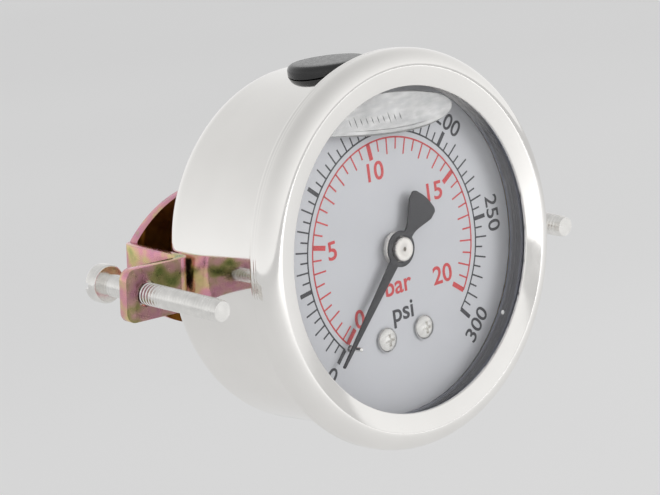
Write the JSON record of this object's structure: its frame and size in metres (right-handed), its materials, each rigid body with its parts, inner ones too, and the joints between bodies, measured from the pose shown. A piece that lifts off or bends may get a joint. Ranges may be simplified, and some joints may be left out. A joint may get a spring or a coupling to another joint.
{
  "type": "pressure gauge",
  "caption": "Round dial pressure gauge with a steel case, crimped bezel, rear threaded connection and a U-shaped panel clamp with two long screws.",
  "frame": {"origin": "on the gauge's axis, in the plane of the panel seat (the bezel's rear face)", "axes": "+Y from the dial towards the rear connection, +Z towards 12 o'clock on the dial, +X to the right seen from the front"},
  "size_m": [0.0911, 0.0578, 0.068],
  "materials": {
    "case_steel": "mirror-polished stainless steel",
    "bezel_steel": "polished stainless steel, fine turned grain",
    "clear_window": "clear polished pane",
    "gasket_rubber": "matt dark rubber",
    "plug_rubber": "satin black rubber",
    "dial_enamel": "pale grey matt enamel, printed black and red",
    "bright_screws": "bright zinc-plated steel",
    "movement_brass": "milled brass",
    "pointer_black": "matt black lacquer",
    "hub_metal": "turned light metal",
    "arbor_steel": "ground steel",
    "spring_bronze": "drawn phosphor bronze",
    "socket_brass": "machined brass",
    "yellow_zinc": "yellow iridescent zinc passivation"
  },
  "bodies": {
    "root": {"case_shell": "case_steel", "bezel_ring": "bezel_steel", "window": "clear_window", "window_gasket": "gasket_rubber", "dial_plate": "dial_enamel", "dial_screw_left": "bright_screws", "dial_screw_right": "bright_screws", "dial_post_left": "movement_brass", "dial_post_right": "movement_brass", "stop_pin": "bright_screws", "movement_front_plate": "movement_brass", "movement_back_plate": "movement_brass", "pillar_1": "movement_brass", "pillar_2": "movement_brass", "pillar_3": "movement_brass", "hairspring_stud": "movement_brass", "movement_screw_1": "arbor_steel", "movement_screw_2": "arbor_steel", "bourdon_tube": "spring_bronze", "hairspring": "spring_bronze", "socket": "socket_brass", "socket_seal": "gasket_rubber", "socket_screw_1": "bright_screws", "socket_screw_2": "bright_screws", "socket_screw_3": "bright_screws", "restrictor": "socket_brass"},
    "pointer": {"pointer": "pointer_black", "pointer_hub": "hub_metal", "pinion_arbor": "arbor_steel"},
    "sector": {"sector_gear": "movement_brass", "sector_arbor": "arbor_steel"},
    "tube_tip": {"tip_block": "movement_brass"},
    "link": {"link": "movement_brass"},
    "washer": {"clamp_washer": "bright_screws"},
    "bracket": {"clamp_bracket": "yellow_zinc"},
    "screw_left": {"clamp_screw_left": "bright_screws"},
    "screw_right": {"clamp_screw_right": "bright_screws"},
    "nut": {"clamp_nut": "bright_screws"},
    "plug": {"fill_plug": "plug_rubber"}
  },
  "joints": [
    {"name": "pointer_turn", "type": "hinge", "parent": "root", "child": "pointer", "pos_m": [0, 0, 0], "axis": [0, 1, 0], "range_deg": [0, 275], "stiffness_Nm_per_rad": 0.00002, "springref_deg": -34.38, "deforming": ["hairspring"]},
    {"name": "sector_swing", "type": "hinge", "parent": "root", "child": "sector", "pos_m": [-0.00299, 0.0087, -0.01511], "axis": [0, 1, 0], "range_deg": [-46, 0]},
    {"name": "tube_tip_swing", "type": "hinge", "parent": "root", "child": "tube_tip", "pos_m": [-0.00272, 0.0161, 0.00673], "axis": [0, 1, 0], "range_deg": [-8, 0], "deforming": ["bourdon_tube"]},
    {"name": "link_pivot", "type": "hinge", "parent": "tube_tip", "child": "link", "pos_m": [0.0204, 0.0076, -0.0096], "axis": [0, 1, 0], "range_deg": [0, 2.8]},
    {"name": "bracket_swivel", "type": "hinge", "parent": "root", "child": "washer", "pos_m": [0, 0.03575, 0], "axis": [0, 1, 0], "range_deg": [-60, 60]},
    {"name": "bracket_rock", "type": "hinge", "parent": "washer", "child": "bracket", "pos_m": [0, 0.03294, 0], "axis": [0.9982, 0, -0.0607], "range_deg": [-10.38, 0]},
    {"name": "screw_left_travel", "type": "slide", "parent": "bracket", "child": "screw_left", "axis": [-0.0055, -0.9959, -0.0903], "range_m": [-0.016, 0.0076]},
    {"name": "screw_right_travel", "type": "slide", "parent": "bracket", "child": "screw_right", "axis": [-0.0055, -0.9959, -0.0903], "range_m": [-0.016, 0.0076]},
    {"name": "nut_travel", "type": "slide", "parent": "root", "child": "nut", "axis": [0, 1, 0], "range_m": [0, 0.01]},
    {"name": "plug_pull", "type": "slide", "parent": "root", "child": "plug", "axis": [0, 0, 1], "range_m": [0, 0.008]}
  ],
  "couplings": [
    {"joint": "sector_swing", "follows": "pointer_turn", "ratio": -0.16667},
    {"joint": "tube_tip_swing", "follows": "pointer_turn", "ratio": -0.028902},
    {"joint": "link_pivot", "follows": "pointer_turn", "ratio": 0.009823}
  ]
}
